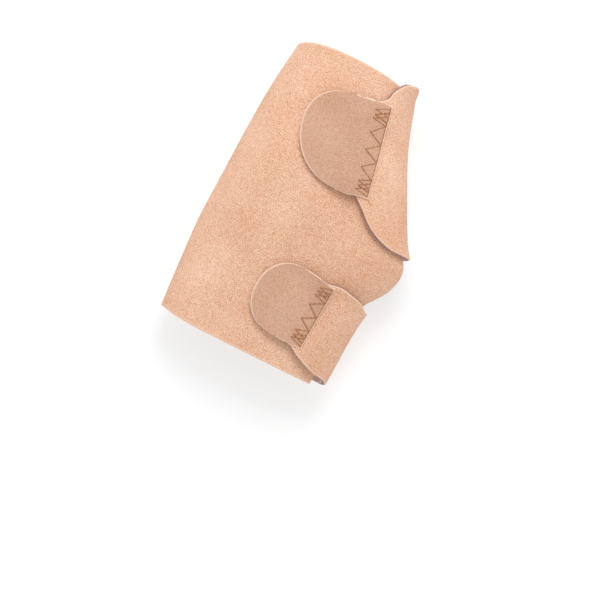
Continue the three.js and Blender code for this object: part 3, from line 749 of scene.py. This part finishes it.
stitch_tree.links.new(dyed.outputs["Geometry"], stitch_out.inputs["Geometry"])


def stitches(name, runs, up, thread=0.19, crown=0.14):
    """Separate stitches, given as pairs of ends in mm."""
    ends = (np.array(runs).reshape(-1, 3) + hand_corner) * MM
    edges = [(2 * k, 2 * k + 1) for k in range(len(ends) // 2)]
    mesh = bpy.data.meshes.new(f"{name}_ends")
    mesh.from_pydata(ends.tolist(), edges, [])
    return grown(name, mesh, stitch_tree,
                 Thread=thread * MM, Crown=crown * MM, Up=up, Finish=seam_thread)


def stitch_line(points, length):
    """A line of points cut into stitches of about one length."""
    runs = []
    for a, b in zip(points[:-1], points[1:]):
        count = max(1, round(np.linalg.norm(b - a) / length))
        for k in range(count):
            runs += [part_way(a, b, (k + 0.03) / count), part_way(a, b, (k + 0.97) / count)]
    return runs


TACKS, TACK_PITCH, TOOTH_PITCH, TOOTH_DEPTH, STITCH = 2, 4.2, 8.6, 6.8, 2.2
wander = np.random.default_rng(4)
for name, tab in TABS.items():
    width = tab_width(tab)
    tack = [TACK_PITCH] * TACKS
    wide = width - 2.4 - 2 * sum(tack)
    teeth = round(wide / TOOTH_PITCH)
    pitches = [*tack, *([wide / teeth] * teeth), *tack]
    along, marks = 1.2, []
    for pitch in pitches:
        marks += [(along, 0.9), (along + pitch / 2, TOOTH_DEPTH)]
        along += pitch
    marks.append((along, 0.9))
    back = [(s + TACK_PITCH * 0.5, gone * 0.94 + 0.1) for s, gone in marks[:2 * TACKS - 1]]
    back_end = [(s - TACK_PITCH * 0.5, gone * 0.94 + 0.1) for s, gone in marks[-2 * TACKS + 1:]]

    def laid(places, above):
        moved = [(s + wander.uniform(-0.35, 0.35), gone + wander.uniform(-0.3, 0.3))
                 for s, gone in places]
        return [tab_points(tab, 2 * s / width - 1, gone, tab_level(gone) + TAPE + above)
                for s, gone in moved]

    edge_run = [tab_points(tab, 2 * s / width - 1, 0.8, STRAP_RISE + SEAT + TAPE + 0.1)
                for s in np.linspace(1.0, width - 1.0, round(width / 2.6))]
    tail = [tab_points(tab, -1 - 2 * out / width, gone, STRAP_RISE + 0.5) for out, gone in
            ((-0.4, 0.6), (1.0, -0.6), (2.0, -2.6))]
    lines = [laid(marks, 0.1), edge_run, tail, laid(back, 0.24), laid(back_end, 0.24)]
    runs = [end for line in lines for end in stitch_line(line, STITCH)]
    seam = stitches(f"{name}_tab_seam", runs, (0.25, 0, 0.97))
    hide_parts(f"{name}_tab_stitching")
    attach(seam, f"{name}_strap")

# ---- The palm pocket ----
# A patch of the same family of cloth, sewn to the palm on three sides and open towards the
# forearm. It is tight over the stay, so it is flat below and rounds down at its sides.

SKIN, STAY_WIDTH, STAY_LENGTH = 0.45, 22, 110
POCKET_FABRIC, POCKET_EASE, FLANGE = 0.8, 0.4, 5
tub_half = (STAY_WIDTH + 2 * SKIN) / 2 + POCKET_EASE + POCKET_FABRIC
mouth = POCKET_FABRIC + POCKET_EASE + SKIN + STAY_LENGTH + SKIN + 0.6
flange_low = PALM_LEVEL - SEAT - POCKET_FABRIC
pocket_foot = np.array([0.481 * 80.6, 11.0])
pocket_turn = math.radians(4.6)

# The third colour is the pocket's painted highlight along its cut edges.
pocket_cloth = cloth_material("pocket_cloth", (200, 154, 124), (232, 192, 164), (236, 200, 174),
                              1500.0, 300.0, 0.45, 0.0004)


def on_palm(x, y, z):
    """A place on the pocket, from its own centre line to the hand's frame."""
    c, s = math.cos(pocket_turn), math.sin(pocket_turn)
    return np.stack([pocket_foot[0] + c * x - s * y, pocket_foot[1] + s * x + c * y, z + 0 * x], -1)


def inside_tub(x, y):
    """How far inside the raised middle a place lies."""
    corner = 3.0
    dx, dy = np.abs(x) - (tub_half - corner), corner - y
    outside = np.hypot(dx.clip(0), dy.clip(0)) + np.minimum(np.maximum(dx, dy), 0)
    return corner - outside


x_shares = edge_steps(2 * (tub_half + FLANGE), 0.45) * 2 - 1
y_shares = edge_steps(mouth + FLANGE, 0.9)
grid_y, grid_x = np.meshgrid(y_shares * (mouth + FLANGE) - FLANGE,
                             x_shares * (tub_half + FLANGE), indexing="ij")
CORNER = 4.2
short_of = CORNER - np.clip(grid_y + FLANGE, 0, CORNER)
corner_in = CORNER - np.sqrt((CORNER ** 2 - short_of ** 2).clip(0))
grid_x = grid_x * (1 - corner_in / (tub_half + FLANGE))
drop = ease_between(inside_tub(grid_x, grid_y), -1.3, 0.3)
pocket_outer = on_palm(grid_x, grid_y, flange_low * (1 - drop))
pocket = layer_mesh("palm_pocket_patch", pocket_outer, 0, POCKET_FABRIC - 0.05, round_top=0.25)
pocket.data.materials.append(pocket_cloth)
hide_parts("stay_pocket")
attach(pocket, "blank")

side = tub_half + FLANGE / 2
low = -FLANGE / 2
bow = [(side - 2.5 + 2.5 * math.cos(a), low + 2.5 - 2.5 * math.sin(a))
       for a in np.linspace(0, math.pi / 2, 5)]
half_line = [(side, mouth - 2.5)] + [(side, y) for y in np.linspace(mouth - 5, low + 4, 40)] + bow
line = half_line + [(-x, y) for x, y in half_line[::-1]]
points = [on_palm(np.array(x), np.array(y), flange_low - 0.05) for x, y in line]
seam = stitches("palm_pocket_seam", stitch_line(points, 2.8), (0, 0, -1), thread=0.2, crown=0.12)
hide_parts("stay_pocket_stitching")
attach(seam, "blank")

# ---- The stay ----
# A strip of soft aluminium that can be bent by hand, with its two ends dipped in vinyl so that
# they do not wear through the pocket. It slides out towards the forearm.

stay_metal, tree, shader = new_finish(
    "stay_metal", {"Metallic": 1, "Base Color": colour(206, 208, 212)})
place = node(tree, "ShaderNodeTexCoord")
drawn = node(tree, "ShaderNodeMapping")
drawn.inputs["Rotation"].default_value = (0, 0, -pocket_turn)
drawn.inputs["Scale"].default_value = (40, 1.2, 40)
tree.links.new(place.outputs["Object"], drawn.inputs["Vector"])
lines = node(tree, "ShaderNodeTexNoise", Scale=90.0, Detail=4.0)
tree.links.new(drawn.outputs["Vector"], lines.inputs["Vector"])
dull = node(tree, "ShaderNodeMapRange")
dull.inputs["To Min"].default_value, dull.inputs["To Max"].default_value = 0.26, 0.5
tree.links.new(lines.outputs["Fac"], dull.inputs["Value"])
tree.links.new(dull.outputs["Result"], shader.inputs["Roughness"])
raised(tree, shader, lines.outputs["Fac"], 0.15, 0.0001)

dip_vinyl, tree, shader = new_finish("dip_vinyl", {"Roughness": 0.35})
place = node(tree, "ShaderNodeTexCoord")
cloudy = node(tree, "ShaderNodeTexNoise", Scale=260.0, Detail=3.0)
tree.links.new(place.outputs["Object"], cloudy.inputs["Vector"])
milky = two_tone(tree, cloudy.outputs["Fac"], (222, 214, 204), (240, 234, 226))
tree.links.new(milky, shader.inputs["Base Color"])
raised(tree, shader, cloudy.outputs["Fac"], 0.2, 0.0003)

for name, finish in (("palmar_stay", stay_metal), ("stay_tip_distal", dip_vinyl),
                     ("stay_tip_proximal", dip_vinyl)):
    mesh = frame["nodes"][name].data
    mesh.materials.clear()
    mesh.materials.append(finish)

# ---- Floor and light ----
# A plain white sweep, a soft even room and one broad lamp over the little-finger side.

floor_mesh = bpy.data.meshes.new("floor")
floor_mesh.from_pydata([(-3, -3, 0), (3, -3, 0), (3, 3, 0), (-3, 3, 0)], [], [(0, 1, 2, 3)])
floor = bpy.data.objects.new("floor", floor_mesh)
bpy.context.scene.collection.objects.link(floor)
sweep, _, _ = new_finish("white_sweep", {
    "Base Color": (0.4, 0.4, 0.4, 1), "Roughness": 0.9,
    "Emission Color": (1, 1, 1, 1), "Emission Strength": 0.6})
floor.data.materials.append(sweep)

world = bpy.data.worlds.new("room")
bpy.context.scene.world = world
world.use_nodes = True
tree = world.node_tree
background = tree.nodes["Background"]
background.inputs["Color"].default_value = (1, 1, 1, 1)
rays = node(tree, "ShaderNodeLightPath")
seen = node(tree, "ShaderNodeMath", operation="MAXIMUM")
tree.links.new(rays.outputs["Is Camera Ray"], seen.inputs[0])
tree.links.new(rays.outputs["Is Glossy Ray"], seen.inputs[1])
through_glass = node(tree, "ShaderNodeMath", operation="MAXIMUM")
tree.links.new(seen.outputs[0], through_glass.inputs[0])
tree.links.new(rays.outputs["Is Transmission Ray"], through_glass.inputs[1])
level = node(tree, "ShaderNodeMapRange")
level.inputs["To Min"].default_value, level.inputs["To Max"].default_value = 0.8, 1.0
tree.links.new(through_glass.outputs[0], level.inputs["Value"])
tree.links.new(level.outputs["Result"], background.inputs["Strength"])

lamp = bpy.data.objects.new("key", bpy.data.lights.new("key", "AREA"))
bpy.context.scene.collection.objects.link(lamp)
lamp.data.size = 0.5
lamp.data.energy = 6.8
aim_at = np.array([0.0, 0.0, 0.03])
lamp.location = (-0.2, 0.72, 0.95)
way = aim_at - np.array(lamp.location)
tilt = math.atan2(math.hypot(way[0], way[1]), -way[2])
lamp.rotation_euler = (tilt, 0, math.atan2(way[1], way[0]) - math.pi / 2)

bpy.context.scene.view_settings.view_transform = "Standard"
